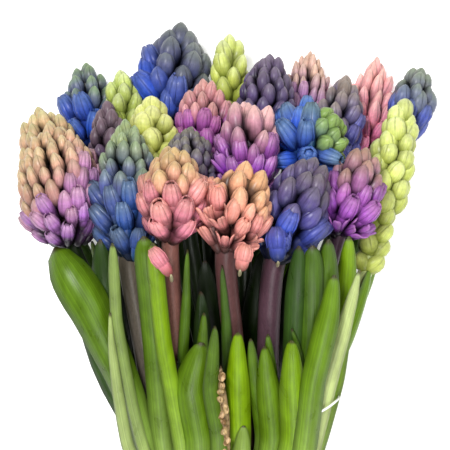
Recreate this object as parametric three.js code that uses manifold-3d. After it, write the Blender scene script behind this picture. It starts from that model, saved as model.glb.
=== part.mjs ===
// A tied bunch of hyacinths that lies on its back: 23 flower heads, their stems and their leaves.
// Millimetres. +Y runs from the cut ends to the flowers, +Z is up, and the bunch rests on z = 0.
import * as THREE from "three";
import { mergeVertices } from "three/addons/utils/BufferGeometryUtils.js";
import Module from "manifold-3d";

const wasm = await Module();
wasm.setup();

// The bunch as a whole
const TIE_Y = -62;
const CUT_Y = -104;
const GAP = 0.3;
const WELD = 1e-4;
const TABLE_SIZE = 800;

// Stems stand side by side in square cells where the lower tie holds them
const CELL = 14;
const HELD_TO = -46;
const STEM_FOOT = (CELL - GAP) / 2;
const TIE_THICK = 1.2;
const TIE_SIDES = 24;
const BACK_STEM_Z = TIE_THICK + GAP + STEM_FOOT;
const FRONT_STEM_Z = BACK_STEM_Z + 3 * CELL;

// How steeply the front of the bundle climbs from the tie, and how much less it does at the sides
const FAN_SLOPE = 0.47;
const FAN_REACH = 60;
const FAN_OPENS = 100;
const FAN_EASES = 1.8;
const FAN_LEFT = 0.08;
const FAN_RIGHT = 0.12;

// Flower heads: how a bud stands out of the core
const CORE = 0.62;
const SHOULDER = 0.93;
const SHOULDER_SPREAD = 0.68;
const BUD_TIP = 1.05;
const BUD_RISE = 0.4;
const BUD_DROOP = -0.35;
const BUD_VARIES = 0.05;
const BUD_LEANS = 0.2;
const WIDEST_AT = 0.36;
const FOOT_NARROWS = 0.72;
const CROWN_POWER = 2.3;
const CROWN_ROUND = 0.62;
const CROWN_LEAST = 0.2;
const CROWN_CAP = 1.02;

// A bud that hangs by itself below its head
const HANGING_SIDES = 6;
const HANGING_NECK = 1.2;
const HANGING_HALF = 5;
const HANGING_TIP = 1.6;
const HANGING_WIDE_FROM = 0.3;
const HANGING_WIDE_TO = 0.8;

// Leaves
const LEAF_THICK = 2.2;
const LEAF_EDGE = 0.9;
const LEAF_ARCH = 0.13;
const STEM_LEAF_WIDTH = 16;
const LEAF_STATIONS = [0, 0.3, 0.56, 0.78, 0.91, 0.98, 1];
const LEAF_FOOT_WIDTH = 0.4;
const LEAF_TIP_WIDTH = 0.2;
const LEAF_FULL = 0.45;
const LEAF_TAPERS = 0.8;
const LEAF_THINS = 0.45;
const LEAF_ROOT = 3;
const LEAF_ROOT_SPREADS = 0.1;
const LEAF_PARTS_FROM = 0.04;
const LEAF_PARTS_AT = 0.3;
const LEAF_STANDS_OFF = 3;
const STEM_LEAF_FULL = 0.7;

// Stems
const STEM_SIDES = 8;
const STEM_STEPS = 4;
const STEM_RADIUS = 6;
const HIDDEN_RADIUS = 5;
const STEM_CURVES = 0.35;
const NECK_SHARE = 0.25;

const COLOURS = {
  leaf: "#4f8f2f",
  stemGreen: "#5d8a3c",
  stemPlum: "#5a3a48",
  stemSlate: "#4d4456",
  stemPale: "#b9cf8a",
  tie: "#f1f1ec",
};

// Every plant: where its head starts and ends, and its cell in the bundle at
// the lower tie, counted in columns from the middle and in rows from the front.
const PLANTS = [
  { name: "peach_mauve", foot: [-99, 128, 87], tip: [-113, 203, 95], radius: 27, around: 8, rows: 7,
    cell: [-3, 1], colour: "#b9899a",
    leaf: { tip: [-73, 122, 80], out: [0, 0, 1] } },
  { name: "slate_blue", foot: [-61, 118, 105], tip: [-62, 206, 113], radius: 19.5, around: 6, rows: 6,
    cell: [-3, 0], colour: "#5a6aa8", stem: "stemSlate" },
  { name: "salmon", foot: [-34, 131, 131], tip: [-31, 189, 141], radius: 19.5, around: 7, rows: 5,
    cell: [-2, 0], colour: "#e59a8c", stem: "stemPlum",
    hanging: { from: [-39, 140, 142], neck: [-44, 126, 149], tip: [-32, 106, 148] } },
  { name: "coral", foot: [1, 126, 128], tip: [13, 177, 140], radius: 20.5, around: 7, rows: 5,
    cell: [1, 0], colour: "#e6977b", stem: "stemPlum", thick: 6.8,
    hanging: { from: [10, 138, 141], neck: [13, 128, 148], tip: [9, 108, 146] } },
  { name: "violet_blue", foot: [32, 118, 110], tip: [57, 182, 120], radius: 20.5, around: 7, rows: 5,
    cell: [2, 0], colour: "#5d6bb4", stem: "stemPlum" },
  { name: "magenta", foot: [73, 132, 94], tip: [91, 189, 103], radius: 18, around: 7, rows: 5,
    cell: [3, 0], colour: "#a668b5", stem: "stemPlum" },
  { name: "white_green", foot: [94, 112, 64], tip: [119, 221, 70], radius: 16, around: 6, rows: 8,
    cell: [3, 1], colour: "#dbe6a6", stem: "stemPale",
    leaf: { tip: [96, 110, 68], out: [0.8, 0, 0.5] } },
  { name: "plum_small", foot: [-73, 164, 61], tip: [-78, 220, 65], radius: 15, around: 6, rows: 5,
    cell: [-2, 1], colour: "#5f4560",
    leaf: { tip: [-90, 128, 50], out: [-1, 0, 0.4] } },
  { name: "lime_round", foot: [-47, 166, 77], tip: [-48, 222, 83], radius: 16.5, around: 7, rows: 5,
    cell: [-1, 1], colour: "#cfd98a",
    leaf: { tip: [-47, 128, 82], out: [0, 0, 1] } },
  { name: "slate_plum", foot: [-24, 146, 96], tip: [-22, 203, 104], radius: 16.5, around: 7, rows: 6,
    cell: [0, 0], colour: "#55506a",
    leaf: { tip: [-13, 116, 94], out: [0, 0, 1] } },
  { name: "orchid_pink", foot: [-13, 166, 58], tip: [-13, 236, 64], radius: 20, around: 7, rows: 6,
    cell: [0, 1], colour: "#c98aa8",
    leaf: { tip: [-2, 134, 64], out: [0.4, 0, 1] } },
  { name: "mauve_loose", foot: [13, 156, 90], tip: [17, 220, 98], radius: 18, around: 7, rows: 6,
    cell: [1, 1], colour: "#b184bb",
    leaf: { tip: [24, 122, 88], out: [0, 0, 1] } },
  { name: "blue_green_top", foot: [44, 178, 64], tip: [66, 205, 102], radius: 22, around: 8, rows: 5,
    cell: [2, 1], colour: "#4a74b8",
    leaf: { tip: [50, 126, 84], out: [0, 0, 1] } },
  { name: "plum_blue", foot: [69, 170, 41], tip: [82, 240, 48], radius: 16, around: 6, rows: 6,
    cell: [2, 2], colour: "#5b4f88",
    leaf: { tip: [70, 134, 66], out: [0.8, 0, 0.6] } },
  { name: "beige_green", foot: [-109, 153, 41], tip: [-124, 218, 49], radius: 21, around: 7, rows: 6,
    cell: [-3, 2], colour: "#b8a184",
    leaf: { tip: [-104, 112, 58], out: [-1, 0, 0.3] } },
  { name: "royal_blue", foot: [-89, 181, 17], tip: [-96, 251, 17], radius: 18, around: 6, rows: 6,
    cell: [-2, 3], colour: "#3f5fb2",
    leaf: { tip: [-86, 136, 24], out: [-1, 0, 0.4] } },
  { name: "lime_small", foot: [-66, 190, 37], tip: [-70, 244, 40], radius: 13, around: 5, rows: 5,
    cell: [-2, 2], colour: "#c5dc7f",
    leaf: { tip: [-60, 150, 26], out: [0, 0, -1] } },
  { name: "cobalt", foot: [-36, 191, 23], tip: [-31, 276, 24], radius: 24, around: 8, rows: 6,
    cell: [-1, 3], colour: "#4763b5",
    leaf: { tip: [-22, 150, 16], out: [0, 0, -1] } },
  { name: "cream_green", foot: [3, 214, 29], tip: [4, 270, 30], radius: 12.5, around: 5, rows: 5,
    cell: [0, 3], colour: "#d4de93",
    leaf: { tip: [6, 160, 16], out: [0, 0, -1] } },
  { name: "ink_plum", foot: [24, 183, 48], tip: [30, 254, 53], radius: 19.5, around: 7, rows: 6,
    cell: [1, 2], colour: "#4d4468",
    leaf: { tip: [20, 150, 34], out: [0, 0, -1] } },
  { name: "mauve_spike", foot: [51, 186, 18], tip: [59, 258, 18], radius: 16, around: 7, rows: 6,
    cell: [1, 3], colour: "#a878a0",
    leaf: { tip: [50, 146, 8], out: [0, 0, -1] } },
  { name: "rose_pink", foot: [87, 168, 16], tip: [106, 254, 17], radius: 17, around: 7, rows: 6,
    cell: [2, 3], colour: "#e39aa4",
    leaf: { tip: [84, 132, 27], out: [0.1, 0, 1] } },
  { name: "slate_teal", foot: [119, 198, 41], tip: [132, 246, 44], radius: 15, around: 6, rows: 5,
    cell: [3, 2], colour: "#4f6678",
    leaf: { tip: [101, 112, 52], out: [1, 0, 0.3] } },
];

// Clumps of front leaves, from left to right, each joined at its pale foot. A leaf is a line of x and y
// from the tie up to its tip, laid at a height over the front stems, with its width.
const CLUMP_PITCH = 12;
const CLUMP_HALF = (CLUMP_PITCH - GAP) / 2;
const CLUMP_LENGTH = 12;
const CLUMPS = [
  { name: "left", leaves: [
    { line: [[-48.5, TIE_Y], [-58, 0], [-67, 25], [-84, 79], [-96, 112], [-104, 125]],
      over: 14, width: 28, full: 0.7, tapers: 0.84 },
    { line: [[-51, TIE_Y], [-62, 0], [-80, 50], [-89, 69]], over: 12, width: 15, out: [-0.6, 0, 0.8] },
  ] },
  { name: "slate", leaves: [
    { line: [[-37, TIE_Y], [-54, 0], [-64, 40], [-68, 80], [-68, 116]], over: 22, width: 16, narrows: 0.6 },
    { line: [[-32, TIE_Y], [-41, 0], [-45, 66], [-50, 114]], over: 15, width: 13, narrows: 0.3 },
  ] },
  { name: "salmon", leaves: [
    { line: [[-22, TIE_Y], [-29, 0], [-38, 66], [-42, 102]], over: 22, width: 11, narrows: 0.3 },
    { line: [[-17, TIE_Y], [-17, 0], [-22, 35], [-15, 64]], over: 18, width: 21 },
  ] },
  { name: "middle", leaves: [
    { line: [[-10, TIE_Y], [-13, 0], [-15, 50], [-13, 84]], over: 13, width: 9 },
    { line: [[-5, TIE_Y], [-4, 0], [-9, 35], [-6, 76]], over: 26, width: 10 },
  ] },
  { name: "coral", leaves: [
    { line: [[6, TIE_Y], [9, 0], [8, 45], [8, 71]], over: 15, width: 14 },
    { line: [[8, TIE_Y], [10, -20], [12, 9]], over: 22, width: 14 },
  ] },
  { name: "violet", leaves: [
    { line: [[16, TIE_Y], [25, 0], [19, 43], [16, 67]], over: 13, width: 10 },
    { line: [[20, TIE_Y], [31, 0], [27, 40], [25, 62]], over: 19, width: 16 },
  ] },
  { name: "magenta", leaves: [
    { line: [[31, TIE_Y], [45, 0], [43, 40], [42, 66]], over: 26, width: 15 },
    { line: [[33, TIE_Y], [43, 20], [45, 93], [46, 116]], over: 13, width: 10 },
    { line: [[35, TIE_Y], [50, 20], [55, 66], [53, 118]], over: 16, width: 13 },
  ] },
  { name: "right", leaves: [
    { line: [[43, TIE_Y], [53, 0], [56, 40], [65, 84], [68, 108]], over: 33, width: 16 },
  ] },
];

// Elastic ties: a white one round six of the stems on the right, and a lower one round the whole bundle.
const RIGHT_STEMS = ["magenta", "white_green", "slate_teal", "plum_blue", "blue_green_top", "rose_pink"];
const TIES = [
  { name: "tie_white", y: 24, width: 4, holds: RIGHT_STEMS.map((name) => `stem_${name}`) },
  { name: "tie_foot", y: TIE_Y, width: 6, holds: ["stem_", "leaves_"] },
];

// Seeded draws, so that the bunch grows the same way every time.
function drawsFrom(seed) {
  let state = seed;
  return () => {
    state = (state * 1664525 + 1013904223) % 4294967296;
    return state / 4294967296;
  };
}

function solidOf(geometry) {
  const bare = geometry.clone();
  bare.deleteAttribute("normal");
  bare.deleteAttribute("uv");
  const welded = mergeVertices(bare, WELD);
  return new wasm.Manifold(
    new wasm.Mesh({
      numProp: 3,
      vertProperties: new Float32Array(welded.attributes.position.array),
      triVerts: new Uint32Array(welded.index.array),
    }),
  );
}

function geometryOf(solid) {
  const mesh = solid.getMesh();
  const points = new Float32Array(mesh.numVert * 3);
  for (let i = 0; i < mesh.numVert; i++)
    for (let axis = 0; axis < 3; axis++)
      points[3 * i + axis] = mesh.vertProperties[mesh.numProp * i + axis];
  const geometry = new THREE.BufferGeometry();
  geometry.setAttribute("position", new THREE.BufferAttribute(points, 3));
  geometry.setIndex([...mesh.triVerts]);
  geometry.computeVertexNormals();
  return geometry;
}

// Points and three-cornered faces, gathered one by one into a geometry.
class Skin {
  points = [];
  faces = [];

  point(vector) {
    this.points.push(vector.x, vector.y, vector.z);
    return this.points.length / 3 - 1;
  }

  face(a, b, c) {
    this.faces.push(a, b, c);
  }

  quad(a, b, c, d) {
    this.face(a, b, c);
    this.face(a, c, d);
  }

  geometry() {
    const made = new THREE.BufferGeometry();
    made.setAttribute("position", new THREE.Float32BufferAttribute(this.points, 3));
    made.setIndex(this.faces);
    return made;
  }
}

// Half the width of a head at a height from 0, its foot, to 1, its tip.
function headRadius(height) {
  if (height < WIDEST_AT) {
    const below = (WIDEST_AT - height) / WIDEST_AT;
    return Math.sqrt(1 - FOOT_NARROWS * below * below);
  }
  const above = (height - WIDEST_AT) / (1 - WIDEST_AT);
  return Math.max(CROWN_LEAST, Math.pow(Math.max(0, 1 - Math.pow(above, CROWN_POWER)), CROWN_ROUND));
}

// A spike of buds: rings of buds set in quincunx, each one a blunt point raised out of a slim core.
function headSolid({ foot, tip, radius, around, rows }, draw) {
  const from = new THREE.Vector3(...foot);
  const axis = new THREE.Vector3(...tip).sub(from);
  const length = axis.length();
  axis.normalize();
  const side = new THREE.Vector3(0, 0, 1).cross(axis).normalize();
  const front = axis.clone().cross(side);
  const step = 1 / (rows + 1);
  const skin = new Skin();

  const at = (turn, height, reach) => {
    const angle = (2 * Math.PI * turn) / around;
    return from
      .clone()
      .addScaledVector(axis, height * length)
      .addScaledVector(side, Math.cos(angle) * reach)
      .addScaledVector(front, Math.sin(angle) * reach);
  };

  const corners = [];
  for (let ring = 0; ring <= rows + 1; ring++) {
    const height = ring * step;
    const reach = radius * CORE * headRadius(height);
    corners.push(
      Array.from({ length: around }, (_, i) => skin.point(at(i + (ring % 2) / 2, height, reach))),
    );
  }
  const corner = (ring, turn) => corners[ring][(turn + around) % around];

  for (let row = 1; row <= rows; row++) {
    const odd = row % 2;
    for (let i = 0; i < around; i++) {
      const turn = odd ? i : i + 0.5;
      const height = row * step;
      const grown = 1 + BUD_VARIES * (2 * draw() - 1);
      const rise = row === 1 ? BUD_DROOP : BUD_RISE;
      const rim = [
        corner(row - 1, i),
        corner(row, odd ? i : i + 1),
        corner(row + 1, i),
        corner(row, odd ? i - 1 : i),
      ];
      const lean = BUD_LEANS * rise * step;
      const shoulder = [[0, -1], [0.5, 0], [0, 1], [-0.5, 0]].map(([across, up]) => {
        const level = height + SHOULDER_SPREAD * up * step + lean;
        const reach = radius * SHOULDER * grown * headRadius(Math.min(level, 1));
        return skin.point(at(turn + SHOULDER_SPREAD * across, level, reach));
      });
      const reach = radius * BUD_TIP * grown * headRadius(height);
      const point = skin.point(at(turn, height + rise * step, reach));
      for (let k = 0; k < 4; k++) {
        const next = (k + 1) % 4;
        skin.quad(rim[k], rim[next], shoulder[next], shoulder[k]);
        skin.face(shoulder[k], shoulder[next], point);
      }
    }
  }

  const last = rows + 1;
  const shift = last % 2 ? 0 : 1;
  const bottom = skin.point(from);
  const crown = skin.point(at(0, CROWN_CAP, 0));
  for (let i = 0; i < around; i++) {
    skin.face(corner(0, i), corner(0, i + 1), corner(1, i));
    skin.face(bottom, corner(0, i + 1), corner(0, i));
    skin.face(corner(rows, i + 1 - shift), corner(last, i + 1), corner(last, i));
    skin.face(corner(last, i), corner(last, i + 1), crown);
  }
  return aboveTable(solidOf(skin.geometry()));
}

// What lies on the table is flat there.
function aboveTable(solid) {
  const below = new THREE.BoxGeometry(TABLE_SIZE, TABLE_SIZE, TABLE_SIZE);
  below.translate(0, 0, -TABLE_SIZE / 2);
  return solid.subtract(solidOf(below));
}

// A tube with flat sides through stations, each with a middle, a direction and half a width across flats.
function tubeSolid(stations, sides) {
  const skin = new Skin();
  const rings = stations.map(({ middle, ahead, half }) => {
    const right = new THREE.Vector3(1, 0, 0).addScaledVector(ahead, -ahead.x).normalize();
    const up = right.clone().cross(ahead);
    const reach = half / Math.cos(Math.PI / sides);
    return Array.from({ length: sides }, (_, k) => {
      const angle = (2 * Math.PI * (k + 0.5)) / sides;
      return skin.point(
        middle
          .clone()
          .addScaledVector(right, Math.cos(angle) * reach)
          .addScaledVector(up, Math.sin(angle) * reach),
      );
    });
  });
  const last = rings.length - 1;
  for (let k = 0; k < sides; k++) {
    const next = (k + 1) % sides;
    for (let i = 0; i < last; i++)
      skin.quad(rings[i][next], rings[i][k], rings[i + 1][k], rings[i + 1][next]);
    if (k > 0 && next > 0) {
      skin.face(rings[0][0], rings[0][k], rings[0][next]);
      skin.face(rings[last][0], rings[last][next], rings[last][k]);
    }
  }
  return solidOf(skin.geometry());
}

const cellX = (plant) => plant.cell[0] * CELL;
const cellZ = (plant) => FRONT_STEM_Z - plant.cell[1] * CELL;

// From where the tie lets go of the stem to the foot of the head.
function stemCurve(plant) {
  const held = new THREE.Vector3(cellX(plant), HELD_TO, cellZ(plant));
  const top = new THREE.Vector3(...plant.foot);
  const axis = new THREE.Vector3(...plant.tip).sub(top).normalize();
  top.addScaledVector(axis, -GAP);
  const reach = STEM_CURVES * held.distanceTo(top);
  return new THREE.CubicBezierCurve3(
    held,
    held.clone().add(new THREE.Vector3(0, reach, 0)),
    top.clone().addScaledVector(axis, -reach * NECK_SHARE),
    top,
  );
}

function stemSolid(plant) {
  const curve = stemCurve(plant);
  const radius = plant.thick ?? (plant.stem ? STEM_RADIUS : HIDDEN_RADIUS);
  const ahead = new THREE.Vector3(0, 1, 0);
  const cut = new THREE.Vector3(cellX(plant), CUT_Y, cellZ(plant));
  const stations = [{ middle: cut, ahead, half: STEM_FOOT }];
  for (let i = 0; i <= STEM_STEPS; i++) {
    const along = i / STEM_STEPS;
    const swelling = Math.max(0, 1 - 2 * along);
    stations.push({
      middle: curve.getPoint(along),
      ahead: curve.getTangent(along),
      half: radius + (STEM_FOOT - radius) * swelling,
    });
  }
  return tubeSolid(stations, STEM_SIDES);
}

// Height of the front of the bundle above the table, over a place on it.
function bundleFront(x, y) {
  const flattening = x < 0 ? FAN_LEFT : FAN_RIGHT;
  const slope = FAN_SLOPE - flattening * (x / FAN_REACH) ** 2;
  const beyond = Math.max(0, y - TIE_Y);
  const opened = 1 - Math.exp(-((beyond / FAN_OPENS) ** FAN_EASES));
  return FRONT_STEM_Z + beyond * slope * opened;
}

// An arched blade along a curve: its back faces out, its inner face is hollow, and it narrows to the tip.
function leafSolid(points, leaf) {
  const { width, out: outward, full = LEAF_FULL, tapers = LEAF_TAPERS, narrows = 0 } = leaf;
  const path = new THREE.CatmullRomCurve3(points, false, "centripetal");
  const out = new THREE.Vector3(...outward).normalize();
  const skin = new Skin();
  const rows = [];
  for (const along of LEAF_STATIONS) {
    const middle = path.getPointAt(along);
    const ahead = path.getTangentAt(along);
    const across = ahead.clone().cross(out).normalize();
    const back = across.clone().cross(ahead).normalize();
    const grown = LEAF_FOOT_WIDTH + (1 - LEAF_FOOT_WIDTH) * Math.min(1, along / full);
    const narrowed = Math.sqrt(1 - Math.max(0, (along - tapers) / (1 - tapers)) ** 2);
    const half = 0.5 * width * Math.max(LEAF_TIP_WIDTH, grown * narrowed * (1 - narrows * along));
    const thin = 1 - LEAF_THINS * along;
    const row = [-1, 0, 1].map((column) => {
      const bulge = 2 * LEAF_ARCH * half * (1 - column * column);
      const thick = (column ? LEAF_EDGE : LEAF_THICK) * thin;
      const centre = middle.clone().addScaledVector(across, column * half).addScaledVector(back, bulge);
      return [
        skin.point(centre.clone().addScaledVector(back, thick / 2)),
        skin.point(centre.clone().addScaledVector(back, -thick / 2)),
      ];
    });
    rows.push(row);
  }
  for (let i = 0; i < rows.length - 1; i++) {
    const [here, next] = [rows[i], rows[i + 1]];
    for (let column = 0; column < 2; column++) {
      skin.quad(here[column][0], here[column + 1][0], next[column + 1][0], next[column][0]);
      skin.quad(here[column + 1][1], here[column][1], next[column][1], next[column + 1][1]);
    }
    skin.quad(here[0][1], here[0][0], next[0][0], next[0][1]);
    skin.quad(here[2][0], here[2][1], next[2][1], next[2][0]);
  }
  const [first, last] = [rows[0], rows[rows.length - 1]];
  for (let column = 0; column < 2; column++) {
    skin.quad(first[column][1], first[column + 1][1], first[column + 1][0], first[column][0]);
    skin.quad(last[column][0], last[column + 1][0], last[column + 1][1], last[column][1]);
  }
  return solidOf(skin.geometry());
}

// A bud on a thin stalk that has sunk below the rest of its head.
function hangingSolid({ from, neck, tip }) {
  const [start, top, end] = [from, neck, tip].map((place) => new THREE.Vector3(...place));
  const ahead = end.clone().sub(top).normalize();
  return tubeSolid(
    [
      { middle: start, ahead, half: HANGING_NECK },
      { middle: top, ahead, half: HANGING_NECK },
      { middle: top.clone().lerp(end, HANGING_WIDE_FROM), ahead, half: HANGING_HALF },
      { middle: top.clone().lerp(end, HANGING_WIDE_TO), ahead, half: HANGING_HALF },
      { middle: end, ahead, half: HANGING_TIP },
    ],
    HANGING_SIDES,
  );
}

// The leaf of a plant parts from its stem above the tie.
function stemLeafSolid(plant) {
  const curve = stemCurve(plant);
  const tip = new THREE.Vector3(...plant.leaf.tip);
  const out = new THREE.Vector3(...plant.leaf.out).normalize();
  const start = curve.getPoint(LEAF_PARTS_FROM);
  const parting = curve.getPoint(LEAF_PARTS_AT).addScaledVector(out, LEAF_STANDS_OFF);
  const free = parting.clone().lerp(tip, 0.5).addScaledVector(out, LEAF_STANDS_OFF);
  return leafSolid([start, parting, free, tip], {
    width: STEM_LEAF_WIDTH,
    out: plant.leaf.out,
    full: STEM_LEAF_FULL,
  });
}

function frontLeafSolid(leaf, [footX, footZ]) {
  const { line, over, out = [0, 0, 1] } = leaf;
  const placed = line.map(([x, y]) => new THREE.Vector3(x, y, bundleFront(x, y) + over));
  const foot = new THREE.Vector3(footX, CUT_Y + LEAF_ROOT, footZ);
  const root = foot.lerp(placed[0].clone().setY(CUT_Y + LEAF_ROOT), LEAF_ROOT_SPREADS);
  return leafSolid([root, ...placed], { ...leaf, out });
}

function clumpFootSolid(x, z) {
  const ahead = new THREE.Vector3(0, 1, 0);
  const ends = [CUT_Y, CUT_Y + CLUMP_LENGTH].map((y) => new THREE.Vector3(x, y, z));
  return tubeSolid(ends.map((middle) => ({ middle, ahead, half: CLUMP_HALF })), STEM_SIDES);
}

// Corners of a polygon that is drawn tight round some points, at a distance from them.
function tightOutline(points, distance) {
  const turn = (2 * Math.PI) / TIE_SIDES;
  const reach = Array.from({ length: TIE_SIDES }, (_, i) => {
    const [across, up] = [Math.cos(i * turn), Math.sin(i * turn)];
    return distance + Math.max(...points.map(([x, z]) => x * across + z * up));
  });
  return reach.map((here, i) => {
    const next = reach[(i + 1) % TIE_SIDES];
    const [a, b] = [i * turn, (i + 1) * turn];
    return new THREE.Vector2(
      (here * Math.sin(b) - next * Math.sin(a)) / Math.sin(turn),
      (next * Math.cos(a) - here * Math.cos(b)) / Math.sin(turn),
    );
  });
}

// A flat elastic band stretched round everything it holds.
function tieSolid({ y, width, holds }, nodes) {
  const slice = new THREE.BoxGeometry(TABLE_SIZE, width, TABLE_SIZE);
  slice.translate(0, y, 0);
  const held = nodes.filter(({ name }) => holds.some((start) => name.startsWith(start)));
  const points = held.flatMap(({ solid }) => {
    const { array, count } = geometryOf(solid.intersect(solidOf(slice))).attributes.position;
    return Array.from({ length: count }, (_, i) => [array[3 * i], array[3 * i + 2]]);
  });
  const shape = new THREE.Shape(tightOutline(points, GAP + TIE_THICK));
  shape.holes.push(new THREE.Path(tightOutline(points, GAP)));
  const geometry = new THREE.ExtrudeGeometry(shape, { depth: width, bevelEnabled: false });
  geometry.rotateX(Math.PI / 2);
  geometry.translate(0, y + width / 2, 0);
  return solidOf(geometry);
}

const nodes = [];

PLANTS.forEach((plant, index) => {
  const spike = headSolid(plant, drawsFrom(index + 1));
  const head = plant.hanging ? spike.add(hangingSolid(plant.hanging)) : spike;
  nodes.push({ name: `head_${plant.name}`, solid: head, colour: plant.colour, roughness: 0.6 });
  const stem = stemSolid(plant);
  const grown = plant.leaf ? stem.add(stemLeafSolid(plant)) : stem;
  nodes.push({
    name: `stem_${plant.name}`,
    solid: grown,
    colour: COLOURS[plant.stem ?? "stemGreen"],
    roughness: 0.55,
  });
});

CLUMPS.forEach(({ name, leaves }, index) => {
  const x = (index - (CLUMPS.length - 1) / 2) * CLUMP_PITCH;
  const z = FRONT_STEM_Z + STEM_FOOT + GAP + CLUMP_HALF;
  const foot = clumpFootSolid(x, z);
  const joined = leaves.reduce((whole, leaf) => whole.add(frontLeafSolid(leaf, [x, z])), foot);
  nodes.push({ name: `leaves_${name}`, solid: joined, colour: COLOURS.leaf, roughness: 0.45 });
});

for (const tie of TIES) {
  const band = tieSolid(tie, nodes);
  nodes.push({ name: tie.name, solid: band, colour: COLOURS.tie, roughness: 0.7 });
}

export const group = new THREE.Group();
for (const { name, solid, colour, roughness } of nodes) {
  const material = new THREE.MeshStandardMaterial({ color: colour, roughness, metalness: 0 });
  const mesh = new THREE.Mesh(geometryOf(solid), material);
  mesh.name = name;
  group.add(mesh);
}

// The origin is below the middle of the bunch, on the table.
const bounds = new THREE.Box3().setFromObject(group);
const middle = bounds.getCenter(new THREE.Vector3());
for (const mesh of group.children)
  mesh.geometry.translate(-middle.x, -middle.y, -bounds.min.z);

export default group;
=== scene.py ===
"""A tied bunch of hyacinths that lies on its back: blooms, stalks, leaves and elastic ties."""

import math
import random

import bmesh
import bpy
from bpy.props import CollectionProperty, FloatProperty, FloatVectorProperty, IntProperty, PointerProperty
from mathutils import Matrix, Vector


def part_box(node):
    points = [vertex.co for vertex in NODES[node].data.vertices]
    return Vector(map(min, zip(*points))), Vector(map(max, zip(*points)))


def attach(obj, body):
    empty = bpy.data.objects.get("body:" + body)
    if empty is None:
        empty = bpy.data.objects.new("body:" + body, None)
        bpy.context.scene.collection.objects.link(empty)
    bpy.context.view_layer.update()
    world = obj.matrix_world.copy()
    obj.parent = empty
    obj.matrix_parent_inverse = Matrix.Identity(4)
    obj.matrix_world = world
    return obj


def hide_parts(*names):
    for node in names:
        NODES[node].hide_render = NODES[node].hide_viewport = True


bl_info = {
    "name": "Tied Hyacinths",
    "version": (1, 0, 0),
    "blender": (4, 5, 0),
    "location": "3D View > Sidebar > Hyacinths",
    "description": "Builds a tied bunch of hyacinths over its fixed solids",
    "category": "Object",
}

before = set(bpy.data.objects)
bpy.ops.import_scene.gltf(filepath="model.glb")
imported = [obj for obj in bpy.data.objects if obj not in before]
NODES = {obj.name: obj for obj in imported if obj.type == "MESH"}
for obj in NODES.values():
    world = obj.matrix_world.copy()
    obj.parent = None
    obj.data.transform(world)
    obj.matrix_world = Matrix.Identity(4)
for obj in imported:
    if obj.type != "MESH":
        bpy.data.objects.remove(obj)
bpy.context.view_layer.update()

# Sizes below are in millimetres from the place where the picture's lower edge cuts the bunch.
MM = 0.001
TIE_Y = -62
CUT_Y = -104
GAP = 0.3
CELL = 14
HELD_TO = -46
STEM_FOOT = (CELL - GAP) / 2
TIE_THICK = 1.2
FRONT_STEM_Z = TIE_THICK + GAP + STEM_FOOT + 3 * CELL
FAN_SLOPE = 0.47
FAN_REACH = 60
FAN_OPENS = 100
FAN_EASES = 1.8
FAN_LEFT = 0.08
FAN_RIGHT = 0.12
CLUMP_PITCH = 12
CLUMP_HALF = (CLUMP_PITCH - GAP) / 2
STEM_CURVES = 0.35
NECK_SHARE = 0.25
CAMERA_HEIGHT = 1234
CAMERA_Y = 139.5
CAMERA_ANGLE = 2 * math.atan(139.5 / 1100)
# The lowest any point may lie, in metres.
LOWEST = 0.0003

UP = Vector((0, 0, 1))


def tint(code):
    """Linear colour from a web colour."""
    parts = [int(code[i:i + 2], 16) / 255 for i in (1, 3, 5)]
    return tuple(p / 12.92 if p <= 0.04045 else ((p + 0.055) / 1.055) ** 2.4 for p in parts)


# Every head: its foot and tip, its half width, its stem's cell at the tie, the width of a bud, how many
# times longer than wide a closed bud is, how much longer an open one is, how far up its buds open into
# bells and into stars, how much smaller its crown's buds are, and its colours in the order below. Some also
# say how much further up the buds of their left and lower sides open, how far their florets lean, how far
# the open ones droop, how much slimmer their foot is, and how light the painted shade between their buds is.
HEAD_FACTS = (
    "foot", "tip", "radius", "cell", "bud", "slender", "stretch", "opens", "stars", "crown", "colours")
HEAD_COLOURS = ("top", "middle", "low", "tips", "base")


def head_of(*facts, **others):
    """The facts of a head by name."""
    return {**dict(zip(HEAD_FACTS, facts)), **others}


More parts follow.
